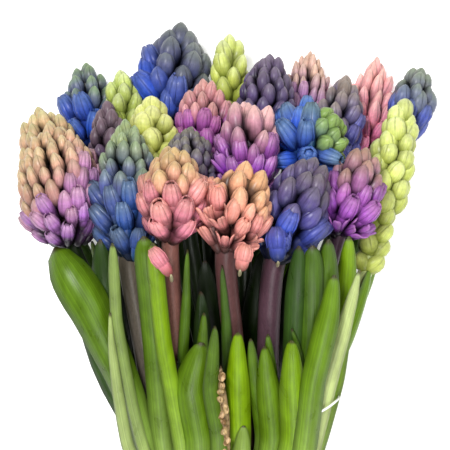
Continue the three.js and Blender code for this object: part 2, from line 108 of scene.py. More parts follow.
HEADS = {
    "peach_mauve": head_of(
        (-99, 128, 87), (-113, 203, 95), 27, (-3, 1), 9.4, 1.7, 0.4, 0.4, 0, 0.1,
        "#cb9f7d #bc8880 #a062b8 #c6b68c #704a66", sides=(-0.24, 0)),
    "slate_blue": head_of(
        (-61, 118, 105), (-62, 206, 113), 19.5, (-3, 0), 12.4, 1.6, 0.75, 0.44, 0, 0.36,
        "#8c9765 #484d8a #254892 #8fa27a #275f88"),
    "salmon": head_of(
        (-34, 131, 131), (-31, 189, 141), 19.5, (-2, 0), 12, 1.3, 0.5, 0.55, 0, 0.1,
        "#b8916a #dc9488 #da7c98 #c0a876 #b85a50", light=0.13),
    "coral": head_of(
        (1, 126, 128), (13, 177, 140), 20.5, (1, 0), 9.8, 1.55, 0.5, 0.4, 0.3, -0.22,
        "#ce976d #e09a84 #e08a8c #d5aa7f #c4766a", sides=(0.1, 0), light=0.16),
    "violet_blue": head_of(
        (32, 118, 110), (57, 182, 120), 20.5, (2, 0), 13.6, 1.35, 0.75, 0.36, 0, 0.2,
        "#5c4e63 #564a89 #374dad #766e72 #344688"),
    "magenta": head_of(
        (73, 132, 94), (91, 189, 103), 18, (3, 0), 10.6, 1.6, 0.45, 0.5, 0.12, -0.1,
        "#9e796a #a75fa8 #9446b4 #ac8d77 #652c74"),
    "white_green": head_of(
        (94, 112, 64), (119, 221, 70), 16.5, (3, 1), 12, 1.15, 0, 0, 0, 0.05,
        "#ccd47c #c2cd69 #bec961 #dae29c #aab840", slims=0.62, light=0.5),
    "plum_small": head_of(
        (-73, 164, 61), (-78, 220, 65), 15, (-2, 1), 11.4, 1.35, 0.2, 0.1, 0, 0.12,
        "#6c5862 #5d4a5e #50406c #7d6a72 #3c3048"),
    "lime_round": head_of(
        (-47, 166, 77), (-48, 222, 83), 17, (-1, 1), 13, 1.05, 0, 0, 0, 0.05,
        "#cdd179 #c9cf69 #ccd262 #dfdf9b #b3b733", light=0.5),
    "slate_plum": head_of(
        (-24, 146, 96), (-22, 203, 104), 17, (0, 0), 9.6, 1.35, 0, 0, 0, 0.25,
        "#615b66 #5e5272 #4d4778 #807c6a #3a3247"),
    "orchid_pink": head_of(
        (-13, 166, 58), (-13, 236, 64), 20, (0, 1), 9.2, 1.75, 0.3, 0.64, 0.1, 0.1,
        "#c88c78 #b4619e #a84cbc #d8a69c #6c2e66"),
    "mauve_loose": head_of(
        (13, 156, 90), (17, 220, 98), 18.5, (1, 1), 10, 1.8, 0.3, 0.5, 0.12, -0.3,
        "#c48a96 #9a5496 #8c3cb4 #e6bcb2 #52205c", sides=(0.12, 0)),
    "blue_green_top": head_of(
        (44, 178, 64), (72, 209, 100), 21, (2, 1), 12, 1.2, 1.35, 0.5, 0, 0.05,
        "#7f9c4a #55697a #2a58d8 #8dab5c #2480b4", sides=(0.4, 0.15), leans=2.05, droops=0.75),
    "plum_blue": head_of(
        (69, 170, 41), (82, 240, 48), 16, (2, 2), 10.8, 1.45, 0.55, 0.5, 0, 0.1,
        "#807068 #625a9c #4f5cc8 #9c9086 #434c8a"),
    "beige_green": head_of(
        (-109, 153, 41), (-124, 218, 49), 21, (-3, 2), 9.6, 1.6, 0, 0, 0, 0.05,
        "#d2ad84 #c99e82 #a98478 #c4c08e #806058"),
    "royal_blue": head_of(
        (-89, 181, 17), (-96, 251, 17), 18, (-2, 3), 12.4, 1.6, 0.5, 0.55, 0, 0.25,
        "#6d7476 #5258a0 #2b5cdc #87a070 #2c55a4", sides=(0.1, 0)),
    "lime_small": head_of(
        (-66, 190, 37), (-70, 244, 40), 13, (-2, 2), 10.8, 1.35, 0, 0, 0, 0.05,
        "#bccb70 #b3c35c #acc056 #d4dfa0 #93aa38", light=0.45),
    "cobalt": head_of(
        (-36, 191, 23), (-31, 276, 24), 24, (-1, 3), 15.6, 1.3, 0.75, 0.5, 0, 0.1,
        "#595b6e #4a4d7a #2a56d2 #7b8278 #27509c", sides=(0.26, 0), leans=1.2),
    "cream_green": head_of(
        (3, 214, 29), (4, 270, 30), 12.5, (0, 3), 11.4, 1.45, 0, 0, 0, 0,
        "#cad570 #c3ce5f #c0ce56 #e3eaae #a4b63a", light=0.45),
    "ink_plum": head_of(
        (24, 183, 48), (30, 254, 53), 19.5, (1, 2), 9.8, 1.5, 0, 0, 0, 0.1,
        "#5e4f6a #564876 #56509a #7c7080 #3b3350"),
    "mauve_spike": head_of(
        (51, 186, 18), (59, 258, 18), 16, (1, 3), 6.6, 2.5, 0.3, 0.6, 0, 0.05,
        "#d6ac94 #bc90bc #a868bc #e2c2ac #7e5088", light=0.16),
    "rose_pink": head_of(
        (87, 168, 16), (106, 254, 17), 17, (2, 3), 8.4, 2.3, 0.3, 0.5, 0, 0.05,
        "#fab2ae #f69ab4 #f06ab4 #ffd0c2 #d8669a", light=0.3),
    "slate_teal": head_of(
        (119, 198, 41), (132, 246, 44), 15, (3, 2), 11, 1.4, 0.4, 0.4, 0, 0.05,
        "#767a78 #636a8a #4a58b4 #8c9880 #44527c", leans=0.55),
}

# Leaves that part from a stalk, hidden for the most part: the tip and the way they face.
STALK_LEAVES = {
    "peach_mauve": ((-73, 122, 80), (0, 0, 1)),
    "white_green": ((96, 110, 68), (0.8, 0, 0.5)),
    "plum_small": ((-90, 128, 50), (-1, 0, 0.4)),
    "lime_round": ((-47, 128, 82), (0, 0, 1)),
    "slate_plum": ((-13, 116, 94), (0, 0, 1)),
    "orchid_pink": ((-2, 134, 64), (0.4, 0, 1)),
    "mauve_loose": ((24, 122, 88), (0, 0, 1)),
    "blue_green_top": ((50, 126, 84), (0, 0, 1)),
    "plum_blue": ((70, 134, 66), (0.8, 0, 0.6)),
    "beige_green": ((-104, 112, 58), (-1, 0, 0.3)),
    "royal_blue": ((-86, 136, 24), (-1, 0, 0.4)),
    "lime_small": ((-60, 150, 26), (0, 0, -1)),
    "cobalt": ((-22, 150, 16), (0, 0, -1)),
    "cream_green": ((6, 160, 16), (0, 0, -1)),
    "ink_plum": ((20, 150, 34), (0, 0, -1)),
    "mauve_spike": ((50, 146, 8), (0, 0, -1)),
    "rose_pink": ((84, 132, 27), (0.1, 0, 1)),
    "slate_teal": ((101, 112, 52), (1, 0, 0.3)),
}

# Stalks in view: slot, colour at the head, colour at the cut end, half width.
STALK_FINISH = {
    "slate_blue": ("stem_slate", "#554d42", "#544d47", 7.2),
    "salmon": ("stem_plum", "#744c44", "#84664f", 5.4),
    "coral": ("stem_plum", "#543434", "#5c463a", 6.8),
    "violet_blue": ("stem_plum", "#4c333d", "#5e4751", 7.2),
    "magenta": ("stem_plum", "#46303e", "#4f4238", 5),
    "white_green": ("stem_pale", "#b4c07c", "#a9bc78", 4.6),
}
# Half width of all other stalks.
HIDDEN_STALK = 5

# What a leaf has unless it says otherwise: the way it faces, its share of the full width at its foot, where
# it reaches that width and where it starts to end, how much it narrows on the way, how blunt it ends, and
# how pale and how dry it is. Some also say how sunny they are, which is drawn at random for the others.
LEAF_FACTS = dict(out=UP, slim=0.5, full=0.45, tapers=0.7, narrows=0, blunt=0.72, pale=0, dry=0)


def blade(over, width, dark, foot, *line, **others):
    """The facts of a front leaf: its height over the stalks, its width, how dark it is with its own tone and
    painted shade, above 1 with painted shade alone, and its line.
    """
    return dict(over=over, width=width, dark=dark, line=((foot, TIE_Y), *line), **others)


# Front leaves in clumps. A line starts with its x at the tie.
CLUMPS = {
    "left": [
        blade(14, 29, 0.5, -44, (-51, -10), (-60.5, 25), (-70.5, 52), (-87, 88), (-102, 113), (-109, 125),
              full=0.9, tapers=0.84, slim=0.1, blunt=0.5),
        blade(5, 13, 1.02, -42, (-50, -12), (-61.5, 10), (-75, 36), (-83, 53), (-90, 70), (-93, 79),
              slim=0.3, full=0.6),
        blade(-3, 17, 1.06, -43, (-56, 0), (-70, 52), (-76, 92), (-79, 130), tapers=0.85),
    ],
    "slate": [
        blade(20, 8.6, 0.5, -37, (-55, 0), (-60, 23), (-64.5, 51), (-68.5, 80), (-69.5, 128), narrows=0.3,
              tapers=0.9, pale=0.25),
        blade(25, 10, 0.2, -38, (-63, -4), (-69, 34), (-72, 66), (-72.4, 84), narrows=0.5, pale=0.5),
        blade(14, 15, 0.5, -32, (-41, 0), (-45, 66), (-50, 132), narrows=0.1, tapers=0.92),
    ],
    "salmon": [
        blade(20, 11, 0.05, -22, (-29, 0), (-39, 66), (-44, 128), narrows=0.15, tapers=0.92, sunny=0.7),
        blade(18, 25, 0.5, -17, (-17, 0), (-22, 35), (-15, 64), blunt=0.6),
        blade(4, 6, 0.7, -24, (-27, -6), (-28, 39), (-24.5, 92), (-23.5, 124)),
    ],
    "middle": [
        blade(13, 9, 0.6, -10, (-13, 0), (-15, 50), (-13, 84)),
        blade(26, 10, 0.65, -5, (-4, 0), (-9, 35), (-6, 76)),
        blade(3, 14, 1.15, -11, (-13, -2), (-14, 60), (-15, 97)),
        blade(3, 6, 0.85, -1, (2, -6), (2, 39), (0.6, 79), (-2, 114)),
        blade(25, 7, 1.1, -1, (-0.5, -10), (-1, 18), (-2.6, 36), (-3, 50), dry=0.6),
    ],
    "coral": [
        blade(15, 15, 0.05, 6, (9, 0), (8, 45), (8, 71), blunt=0.6, sunny=0.8),
        blade(22, 14, 0.25, 8, (10, -20), (12, 9), pale=0.2),
    ],
    "violet": [
        blade(13, 10, 0.6, 16, (25, 0), (19, 43), (16, 67)),
        blade(19, 16, 0.42, 20, (31, 0), (27, 40), (25, 62), sunny=0.3),
        blade(13, 9, 0.6, 22, (33, -5), (30, 40), (27, 70)),
    ],
    "magenta": [
        blade(26, 18, 0.15, 31, (45, 0), (43, 40), (42, 66), blunt=0.62, sunny=0.5),
        blade(12, 14, 1.0, 33, (43, 20), (45, 93), (46, 126), tapers=0.85),
        blade(16, 17, 0.8, 35, (50, 20), (55, 66), (54.5, 126), tapers=0.84, blunt=0.6),
        blade(20, 5, 0.8, 37, (53, 0), (51, 40), (47, 59), (42, 74)),
    ],
    "right": [
        blade(33, 15, 0.32, 43, (52, 0), (56, 40), (65, 84), (68, 108), slim=0.3, tapers=0.78, blunt=0.55,
              sunny=0.1),
        blade(27, 11, 0, 44, (57, -3), (68, 47), (75.5, 75), (82, 99), (85, 111), slim=0.9, sunny=0.3,
              pale=0.75),
        blade(18, 15, 0.72, 40, (52, -4), (60, 60), (64, 97), (64.5, 130), tapers=0.85),
        blade(8, 13, 0.15, 45, (60, -5), (71, 40), (77, 95), (79, 132), tapers=0.85, sunny=0.7),
    ],
}
# Dry bits on a papery leaf.
CRUMBS = 17

# Florets that have sunk below a head: the end of the lobes, the foot, the end of its pale stalk, the width.
LONE_FLORETS = {
    "salmon": ((-44.6, 124.8, 150), (-33, 108.3, 148), (-33, 104.5, 132), 9.4),
    "coral": ((12.8, 127.3, 149), (9.2, 111.3, 148), (9, 108, 132), 10.6),
    "slate_blue": ((-53.8, 137, 124), (-55.8, 116.3, 123), (-56, 113, 108), 9.4),
    "violet_blue": ((32, 138, 132), (33, 116.5, 131), (33, 113.5, 117), 13.4),
}

# The white tie: points of the thin loop round the stems, over the two outermost leaves on the right.
WHITE_LOOP = (
    (35.5, 22, 66), (45, 21, 66), (53, 18, 72), (58, 18.5, 94), (62, 20.5, 99), (67, 23.6, 99),
    (71.5, 26.6, 95), (73.5, 27.2, 84), (74, 27, 50), (72, 26, 22), (66, 25, 3.4), (50, 24, 2.6),
    (37, 23, 4), (33.4, 22, 30),
)


def middle_of_foot():
    """Where x = 0 and y = 0 of the tables lie in the frame."""
    stem = [v.co for v in NODES["stem_orchid_pink"].data.vertices]
    end = min(co.y for co in stem)
    cut = [co.x for co in stem if co.y < end + 0.0001]
    tie_low, tie_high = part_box("tie_foot")
    return Vector(((min(cut) + max(cut)) / 2, (tie_low.y + tie_high.y) / 2 - TIE_Y * MM, 0))


ORIGIN = middle_of_foot()


def place(x, y, z):
    """A point of the tables in the frame, in metres."""
    return ORIGIN + Vector((x, y, z)) * MM


def bundle_front(x, y):
    """Height of the front of the bundle above the table, over a place on it."""
    slope = FAN_SLOPE - (FAN_LEFT if x < 0 else FAN_RIGHT) * (x / FAN_REACH) ** 2
    beyond = max(0.0, y - TIE_Y)
    return FRONT_STEM_Z + beyond * slope * (1 - math.exp(-((beyond / FAN_OPENS) ** FAN_EASES)))


def share_of(name, description, default=0):
    """A property from 0 to 1."""
    return FloatProperty(name=name, description=description, default=default, subtype="FACTOR", min=0, max=1)


def colour_of(name, description, code="#000000"):
    """A colour property."""
    return FloatVectorProperty(name=name, description=description, default=tint(code), subtype="COLOR")


class HyacinthHead(bpy.types.PropertyGroup):
    """Colours and bud sizes of one flower head"""

    bud: FloatProperty(name="Bud width", description="Width of one bud", default=8, min=2, max=20)
    slender: FloatProperty(name="Slenderness", description="Length of a bud over its width", default=1.8)
    stretch: FloatProperty(name="Stretch", description="What opening adds to a bud's slenderness", default=0)
    crown: FloatProperty(name="Crown size", description="How much smaller the crown's buds are", default=0)
    opens: share_of("Opens up to", "Share of the head where buds have opened", 0.5)
    stars: share_of("Stars up to", "Share of the head where florets curl back")
    sides: FloatVectorProperty(
        name="Sides", description="How much further up the left and the lower side buds open", size=2,
        default=(0, 0))
    leans: FloatProperty(name="Lean", description="Lean of its florets over the bunch's", default=1)
    droops: FloatProperty(
        name="Droop", description="How far its open florets tip towards the table", default=0.15)
    slims: share_of("Slim foot", "How much slimmer it is at its foot")
    # Light: the floor of the painted shade between its buds, at each bud's foot and on its core.
    light: share_of("Light", "How light it is between its buds", 0.07)
    top: colour_of("Crown", "Colour of the crown's buds")
    middle: colour_of("Middle", "Colour halfway up")
    low: colour_of("Low", "Colour of the lowest florets")
    # Bud tips: their own paler colour, made lighter in part as a painted highlight.
    tips: colour_of("Bud tips", "Colour of the ends of the buds")
    base: colour_of("Bud base", "Colour where a bud is joined")


class HyacinthSizes(bpy.types.PropertyGroup):
    """Sizes that hold for the whole bunch"""

    closeness: FloatProperty(
        name="Closeness", description="Room for a bud on its ring, over its width", default=1.0, min=0.5)
    fullness: FloatProperty(
        name="Fullness", description="Width of a bud over the room it has", default=1.02, min=0.5)
    overlap: FloatProperty(
        name="Ring height", description="Height from ring to ring, over a bud's length", default=0.66,
        min=0.3)
    lean: FloatProperty(
        name="Lean", description="How far the lowest florets lean out", default=math.radians(42),
        subtype="ANGLE")
    leaf_thickness: FloatProperty(
        name="Leaf thickness", description="Thickness of a front leaf", default=0.0013, unit="LENGTH")
    leaf_rows: IntProperty(name="Leaf rows", description="Faces along a leaf", default=34, min=8)
    seed: IntProperty(name="Seed", description="Changes how the buds are scattered", default=7)


class HyacinthColours(bpy.types.PropertyGroup):
    """Colours of the greenery, the ties and the stage"""

    leaf_light: colour_of("Light leaf", "Colour of a leaf in full light", "#698d08")
    leaf_sunny: colour_of("Sunny leaf", "Colour of the brightest leaves", "#7a9c00")
    # The dark leaves: partly their own deeper green, partly painted shade.
    leaf_dark: colour_of("Dark leaf", "Colour of the dark leaves", "#2c4712")
    leaf_pale: colour_of("Pale leaf", "Colour of the palest leaves", "#b9c485")
    leaf_foot: colour_of("Leaf foot", "Colour near the cut ends", "#869f4c")
    green_stalk: colour_of("Green stalk", "Colour of the green stalks", "#4c6b2c")
    elastic: colour_of("Elastic", "Colour of the elastic ties", "#f3f3ee")
    floor: FloatVectorProperty(
        name="Floor", description="Colour of the floor", subtype="COLOR", default=(0.98, 0.98, 0.98))


def unselect():
    """Object mode, with nothing selected."""
    if bpy.context.mode != "OBJECT":
        bpy.ops.object.mode_set(mode="OBJECT")
    bpy.ops.object.select_all(action="DESELECT")


def new_piece(add, name, **settings):
    """The object that an operator adds at the origin."""
    unselect()
    add(location=(0, 0, 0), **settings)
    piece = bpy.context.active_object
    piece.name = piece.data.name = name
    return piece


def edit(piece):
    """Edit mode for one piece, by its points and with all of them selected."""
    unselect()
    piece.select_set(True)
    bpy.context.view_layer.objects.active = piece
    bpy.ops.object.mode_set(mode="EDIT")
    bpy.ops.mesh.select_mode(type="VERT")
    bpy.ops.mesh.select_all(action="SELECT")


def leave_edit():
    """Turns all faces outward and leaves edit mode."""
    bpy.ops.mesh.select_all(action="SELECT")
    bpy.ops.mesh.normals_make_consistent(inside=False)
    bpy.ops.object.mode_set(mode="OBJECT")


def pick(piece, test):
    """Selects the points of a piece in edit mode for which test is true."""
    shape = bmesh.from_edit_mesh(piece.data)
    for part in (*shape.faces, *shape.edges):
        part.select = False
    for vertex in shape.verts:
        vertex.select = bool(test(vertex.co))
    shape.select_flush(True)
    bmesh.update_edit_mesh(piece.data)


def resize(x, y, z=1, height=0):
    """Scales what is selected about a point on the axis."""
    bpy.ops.transform.resize(value=(x, y, z), center_override=(0, 0, height))


def apply(piece, kind, **settings):
    """Adds a modifier to the active piece and applies it."""
    modifier = piece.modifiers.new(kind.title(), kind)
    for key, value in settings.items():
        setattr(modifier, key, value)
    bpy.ops.object.modifier_apply(modifier=modifier.name)


def join(pieces, name):
    """One object out of several."""
    unselect()
    for piece in pieces:
        piece.select_set(True)
    bpy.context.view_layer.objects.active = pieces[0]
    bpy.ops.object.join()
    pieces[0].name = pieces[0].data.name = name
    return pieces[0]


def lift(piece):
    """Keeps every point of a piece above the table."""
    for vertex in piece.data.vertices:
        vertex.co.z = max(vertex.co.z, LOWEST)
    return piece


def copy_piece(source):
    """A copy of a piece, with a mesh of its own."""
    copied = source.copy()
    copied.data = source.data.copy()
    bpy.context.collection.objects.link(copied)
    return copied


def finish_piece(piece, material, slot, *nodes):
    """Gives a piece its finish and ties it to the frame."""
    piece.data.materials.clear()
    piece.data.materials.append(material)
    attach(piece, "root")
    if nodes:
        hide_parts(*nodes)
    return piece


# Florets are one unit long and stand on their foot. They are scaled to size on their head. Every third
# corner is pinched to a seam. Tubes and buds have rings of height and radius, petals have rows of height,
# distance from the axis and width.
FLORET_SIDES = 9
FLORET_WIDTH = 0.66
SEAM_EVERY = 3
BUD = ((0, 0.12), (0.12, 0.25), (0.4, 0.33), (0.64, 0.315), (0.83, 0.235), (0.94, 0.13), (1, 0.04))
PLUMP = ((0, 0.14), (0.1, 0.26), (0.28, 0.325), (0.52, 0.345), (0.76, 0.31), (0.92, 0.2), (1, 0.06))
THROAT = ((0, 0.1), (0.06, 0.19), (0.2, 0.26), (0.42, 0.285), (0.66, 0.285), (0.86, 0.23), (0.96, 0.1))
NARROW = ((0, 0.1), (0.08, 0.2), (0.26, 0.24), (0.5, 0.23), (0.56, 0.1))
LOBES = ((0.42, 0.27, 0.3), (0.68, 0.295, 0.38), (0.89, 0.235, 0.32), (1.02, 0.15, 0.13))
RAYS = ((0.36, 0.23, 0.24), (0.6, 0.31, 0.34), (0.8, 0.37, 0.37), (0.93, 0.43, 0.31), (0.98, 0.47, 0.15))
PETALS = 6
INNER_PETALS = 0.92
# Rows of a petal that are done are set aside this far up, so that no row is taken for another.
ASIDE = 3


def model_tube(name, rings, bend, seam):
    """A closed bud or tube: a disc extruded ring by ring, pinched along its seams and bent."""
    height, radius = rings[0]
    piece = new_piece(bpy.ops.mesh.primitive_circle_add, name, vertices=FLORET_SIDES, radius=radius,
                      fill_type="TRIFAN")
    edit(piece)
    for next_height, next_radius in rings[1:]:
        bpy.ops.mesh.extrude_region_move(TRANSFORM_OT_translate={"value": (0, 0, next_height - height)})
        share = next_radius / radius
        resize(share, share, 1, next_height)
        height, radius = next_height, next_radius
    turn = 2 * math.pi / FLORET_SIDES
    pick(piece, lambda co: co.z > 0.22 and co.xy.length > 0.02
         and round(math.atan2(co.y, co.x) / turn) % SEAM_EVERY == 0)
    resize(1 - seam, 1 - seam)
    for level, _ in rings:
        pick(piece, lambda co: abs(co.z - level) < 0.001)
        bpy.ops.transform.translate(value=(-bend * math.sin(math.pi * min(level, 1)), 0, 0))
    leave_edit()
    return piece


def model_petals(rows, cup, thickness):
    """Straps round a tube, each a grid shaped row by row and given its thickness."""
    straps = []
    faces = len(rows) - 1
    for index in range(PETALS):
        strap = new_piece(bpy.ops.mesh.primitive_grid_add, "strap", x_subdivisions=2, y_subdivisions=faces,
                          size=1)
        edit(strap)
        reach = INNER_PETALS if index % 2 else 1
        for row, (height, radius, width) in enumerate(rows):
            level = -0.5 + row / faces
            pick(strap, lambda co: abs(co.y - level) < 0.01 and co.z == 0)
            bpy.ops.transform.resize(value=(width, 1, 1), center_override=(0, level, 0))
            bpy.ops.transform.translate(value=(0, radius * reach - level, height + ASIDE))
        for height, radius, width in rows:
            for cupped in (True, False):
                pick(strap, lambda co: abs(co.z - height - ASIDE) < 0.002 and (abs(co.x) < 0.001) == cupped
                     and abs(co.y - radius * reach) < 0.002)
                bpy.ops.transform.translate(value=(0, cup * width if cupped else 0, -ASIDE))
        bpy.ops.object.mode_set(mode="OBJECT")
        apply(strap, "SOLIDIFY", thickness=thickness, offset=0)
        strap.data.transform(Matrix.Rotation(math.radians((index + 0.5) * 360 / PETALS), 4, "Z"))
        straps.append(strap)
    return straps


def model_florets():
    """The buds and flowers that every head is made of."""
    made = {"bud": model_tube("bud", BUD, 0.05, 0.13), "plump": model_tube("plump", PLUMP, 0.02, 0.07)}
    for kind, tube, rows, cup, thickness in (("bell", THROAT, LOBES, 0.1, 0.035),
                                             ("star", NARROW, RAYS, 0.14, 0.045)):
        heart = model_tube("tube", tube, 0, 0.05)
        made[kind] = join([heart, *model_petals(rows, cup, thickness)], kind)
    for piece in made.values():
        edit(piece)
        bpy.ops.mesh.remove_doubles(threshold=0.0005)
        leave_edit()
        bpy.ops.object.shade_smooth()
        wrap_uv(piece.data)
    return made


def wrap_uv(mesh):
    """A map that runs round a floret and from its foot to its end."""
    for layer in list(mesh.uv_layers):
        mesh.uv_layers.remove(layer)
    layer = mesh.uv_layers.new(name="petal_map")
    for face in mesh.polygons:
        corners = [mesh.vertices[index].co for index in face.vertices]
        turns = [math.atan2(co.y, co.x) / (2 * math.pi) + 0.5 for co in corners]
        wraps = max(turns) - min(turns) > 0.5
        for loop, co, turn in zip(face.loop_indices, corners, turns):
            layer.data[loop].uv = (turn + 1 if wraps and turn < 0.5 else turn, co.z)


def blend(a, b, share):
    """Colour between two colours."""
    share = max(0.0, min(1.0, share))
    return Vector(a) * (1 - share) + Vector(b) * share


def smooth(low, high, value):
    """Rises softly from 0 at low to 1 at high."""
    share = max(0.0, min(1.0, (value - low) / (high - low)))
    return share * share * (3 - 2 * share)


# Where a head is widest, as a share of its height.
WAIST = 0.36


def head_profile(height):
    """Half width of a head over its greatest, from its foot at 0 to its tip at 1."""
    if height < WAIST:
        return math.sqrt(1 - 0.6 * ((WAIST - height) / WAIST) ** 2)
    return max(0.0, 1 - ((height - WAIST) / (1 - WAIST)) ** 2.3) ** 0.62


def store_colours(mesh, name, colours):
    """Stores four numbers at every point of a mesh."""
    layer = mesh.color_attributes.new(name=name, type="FLOAT_COLOR", domain="POINT")
    layer.data.foreach_set("color", [part for colour in colours for part in colour])


def paint(mesh, colour_at):
    """Stores the colour of a petal at every point of a mesh."""
    store_colours(mesh, "petal_colour", [(*colour_at(vertex.co), 1.0) for vertex in mesh.vertices])


def bud_colour(head, height, shade, wild):
    """The colours from foot to end of a bud that sits at a height on its head, with painted shade at its foot
    where it tucks under others.
    """
    level = max(0.0, min(1.0, height + wild))
    if level < 0.5:
        body = blend(head.low, head.middle, level / 0.5)
    else:
        body = blend(head.middle, head.top, (level - 0.5) / 0.5)
    # The tips are partly their own paler colour and partly a painted highlight.
    tips = blend(body, head.tips, 0.3 + 0.55 * smooth(0.25, 0.9, level))
    base = blend(head.base, body, 0.2)

    def colour_at(co):
        here = blend(base, body, smooth(0.06, 0.55, co.z))
        # Painted shade: the foot of a bud is darker where it tucks under its neighbours.
        tuck_shade = head.light + (1 - head.light) * smooth(-0.16, 0.5, co.z)
        return blend(here, tips, smooth(0.55, 1, co.z)) * shade * tuck_shade

    return colour_at


def copy_floret(source, scale, matrix, colour_at, lit=None):
    """A floret of its own, with its colours and any painted shade, in its place."""
    copied = copy_piece(source)
    whole = matrix @ Matrix.Diagonal((*scale, 1))
    paint(copied.data, (lambda co: colour_at(co) * lit(whole @ co)) if lit else colour_at)
    copied.data.transform(whole)
    return copied


def facing(along, up, origin):
    """A frame at origin whose z runs along and whose x leans up."""
    z = along.normalized()
    x = (up - z * up.dot(z)).normalized()
    y = z.cross(x)
    turned = Matrix((x, y, z)).transposed().to_4x4()
    turned.translation = origin
    return turned


def choose_floret(head, height, draw):
    """Which kind of floret grows at a height of a head."""
    if head.light > 0.4 and head.slender < 1.25:
        return "plump"
    if head.stars and height < head.stars + draw.uniform(-0.05, 0.05):
        return "star"
    if height < head.opens + draw.uniform(-0.12, 0.12):
        return "bell"
    return "bud"


def bud_size(head, height):
    """Size of a bud at a height of its head, over the size of the lowest."""
    return 1 - head.crown * smooth(0.4, 0.95, height)


def ring_heights(head, sizes, length, radius):
    """Where the rings of florets sit, from 0 at the foot to 1 at the crown, closer where the crown rounds."""
    steps, rings, last = 200, [0.0], head_profile(0) * radius
    grown = 0.0
    for step in range(1, steps + 1):
        height = step / steps
        width = head.bud * MM * bud_size(head, height)
        out = head_profile(height) * radius
        up = length * 0.8 / steps / (sizes.overlap * width * head.slender)
        grown += up + max(0.0, last - out) * 0.8 / (width * sizes.closeness)
        last = out
        rings.append(grown)
    count = max(2, round(grown))
    return [next(i for i, ring in enumerate(rings) if ring >= grown * k / count - 1e-9) / steps
            for k in range(count + 1)]


# How florets differ from one another: their size, their shade, their colour's level, their place up the
# head and round it, their lean to one side and their turn about their own axis.
SIZE_SPREAD = (0.88, 1.12)
SHADE_SPREAD = (0.84, 1.14)
LEVEL_SPREAD = 0.14
UP_SPREAD = 0.11
ROUND_SPREAD = 0.15
TWIST_SPREAD = 0.2
TURN_SPREAD = 0.6
# The share of a floret that lies inside its ring, how long it is over what its slenderness says, and how
# much further a star leans.
FOOT_SHARE = 0.48
BUD_REACH = 1.14
STAR_LEAN = 1.2
# An open floret's colours come from further down the head.
OPEN_LEVEL = 0.45


def dress_head(name, head, sizes, florets, draw):
    """Florets round a head, ring over ring from foot to crown, each ring between those of the last."""
    facts = HEADS[name]
    foot, tip = place(*facts["foot"]), place(*facts["tip"])
    axis = tip - foot
    length = axis.length
    axis.normalize()
    side = UP.cross(axis).normalized()
    front = axis.cross(side)
    radius = facts["radius"] * MM
    width = head.bud * MM

    def spread(height):
        slimmer = 1 - head.slims * (1 - smooth(-0.2, 0.8, height))
        return max(0.0, radius - 0.45 * width) * head_profile(max(0.0, min(1.0, height))) * slimmer

    # Painted shade: a floret is darker the deeper it lies between the others, down to the head's light share,
    # and lighter towards the crown.
    def lit(point):
        along = (point - foot).dot(axis)
        height = along / length
        out = ((point - foot - axis * along).length - spread(height)) / (0.5 * width)
        return head.light + (1 - head.light) * smooth(-0.05, 0.85, out + 1.8 * smooth(0.68, 1.0, height))

    pieces = []
    turn, around = draw.uniform(0, 2 * math.pi), 0
    for height in ring_heights(head, sizes, length, radius):
        size = bud_size(head, height)
        long = width * size * head.slender
        low = 0.4 * width * (head.slender + head.stretch) * math.cos(sizes.lean)
        level = low + (length - 0.57 * long - low) * height
        belly = spread(height)
        before, around = around, max(1, round(2 * math.pi * belly / (width * size * sizes.closeness)))
        turn += math.pi / around if around == before else draw.uniform(0, 2 * math.pi)
        for index in range(around + (around > 2)):
            heart = index == around
            angle = turn + 2 * math.pi * (index + draw.uniform(-ROUND_SPREAD, ROUND_SPREAD)) / around
            radial = side * math.cos(angle) + front * math.sin(angle)
            aside = min(1.0, max(0.0, height + radial.x * head.sides[0] + radial.y * head.sides[1]))
            kind = "bud" if heart else choose_floret(head, aside, draw)
            opened = kind in ("bell", "star")
            grown = size * draw.uniform(*SIZE_SPREAD)
            reach = width * grown * (head.slender * BUD_REACH + (head.stretch if opened else 0))
            lean = sizes.lean * head.leans * (0.2 + 0.8 * (1 - height) ** 1.3)
            lean = lean * min(1.0, 1.6 * head_profile(height)) * (STAR_LEAN if kind == "star" else 1)
            lean += draw.uniform(-1, 1) * (0.12 + 0.16 * (1 - height))
            lean = 0 if heart else lean
            along = axis * math.cos(lean) + radial * math.sin(lean)
            along += radial.cross(axis) * draw.uniform(-TWIST_SPREAD, TWIST_SPREAD)
            along.z -= head.droops if opened else 0
            along.normalize()
            middle = foot + axis * (level + draw.uniform(-UP_SPREAD, UP_SPREAD) * long)
            middle += radial * (0 if heart else belly)
            matrix = facing(along, axis + radial * 0.01, middle - along * FOOT_SHARE * reach)
            matrix = matrix @ Matrix.Rotation(draw.uniform(-TURN_SPREAD, TURN_SPREAD), 4, "Z")
            across = width * grown * sizes.fullness / FLORET_WIDTH
            colours = bud_colour(head, aside * (OPEN_LEVEL if opened else 1), draw.uniform(*SHADE_SPREAD),
                                 draw.uniform(-LEVEL_SPREAD, LEVEL_SPREAD))
            pieces.append(copy_floret(florets[kind], (across, across, reach), matrix, colours, lit))
    pieces.append(model_core(head, foot, axis, side, length, radius))
    if name in LONE_FLORETS:
        pieces.extend(lone_floret(head, florets, *LONE_FLORETS[name]))
    return lift(join(pieces, f"bloom_{name}"))


def model_core(head, foot, axis, side, length, radius):
    """The fleshy spike that the florets grow from, its colours darkened by painted shade."""
    core = new_piece(bpy.ops.mesh.primitive_uv_sphere_add, "core", segments=16, ring_count=10, radius=1)
    edit(core)
    pick(core, lambda co: co.z > 0.2)
    resize(0.86, 0.86)
    bpy.ops.object.mode_set(mode="OBJECT")
    bpy.ops.object.shade_smooth()
    # Painted shade: the core is darkened down to the head's light share, as it lies in the shade between the
    # buds.
    dark = blend(head.base, head.middle, 0.4) * max(0.22, head.light)
    paint(core.data, lambda co: dark)
    core.data.transform(facing(axis, side, foot + axis * length * 0.42)
                        @ Matrix.Diagonal((radius * 0.5, radius * 0.5, length * 0.38, 1)))
    return core


